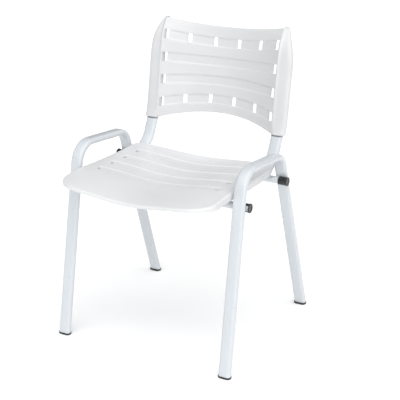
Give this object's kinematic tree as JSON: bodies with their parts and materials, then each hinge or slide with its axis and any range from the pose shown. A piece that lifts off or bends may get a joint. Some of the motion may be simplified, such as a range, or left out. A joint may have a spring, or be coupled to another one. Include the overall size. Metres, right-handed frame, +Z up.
{
  "type": "stacking chair",
  "caption": "Armless stacking chair: bent oblong-tube legs that loop up beside the seat, ribbed plastic seat, curved plastic backrest with rectangular slots.",
  "frame": {"origin": "on the floor, at the middle of the chair's footprint", "axes": "+X is the sitter's left, the chair faces -Y, +Z is up"},
  "size_m": [0.539, 0.555, 0.8169],
  "materials": {
    "white_powder_coat": "white powder coat with a cool tint, semi-gloss",
    "white_seat_plastic": "moulded polypropylene, satin",
    "white_back_plastic": "moulded polypropylene, satin",
    "black_plastic": "moulded polyethylene, satin",
    "zinc_steel": "zinc plated"
  },
  "bodies": {
    "root": {"left_side_frame": "white_powder_coat", "left_back_upright": "white_powder_coat", "left_upright_end_plug": "black_plastic", "front_left_foot_cap": "black_plastic", "front_left_stacking_bumper": "black_plastic", "rear_left_foot_cap": "black_plastic", "rear_left_stacking_bumper": "black_plastic", "right_side_frame": "white_powder_coat", "right_back_upright": "white_powder_coat", "right_upright_end_plug": "black_plastic", "front_right_foot_cap": "black_plastic", "front_right_stacking_bumper": "black_plastic", "rear_right_foot_cap": "black_plastic", "rear_right_stacking_bumper": "black_plastic", "front_cross_tube": "white_powder_coat", "rear_cross_tube": "white_powder_coat", "leg_weld_beads": "white_powder_coat", "upright_weld_beads": "white_powder_coat", "seat_shell": "white_seat_plastic", "backrest_shell": "white_back_plastic", "seat_screws": "zinc_steel", "seat_screw_washers": "zinc_steel", "backrest_screws": "zinc_steel"}
  },
  "joints": []
}
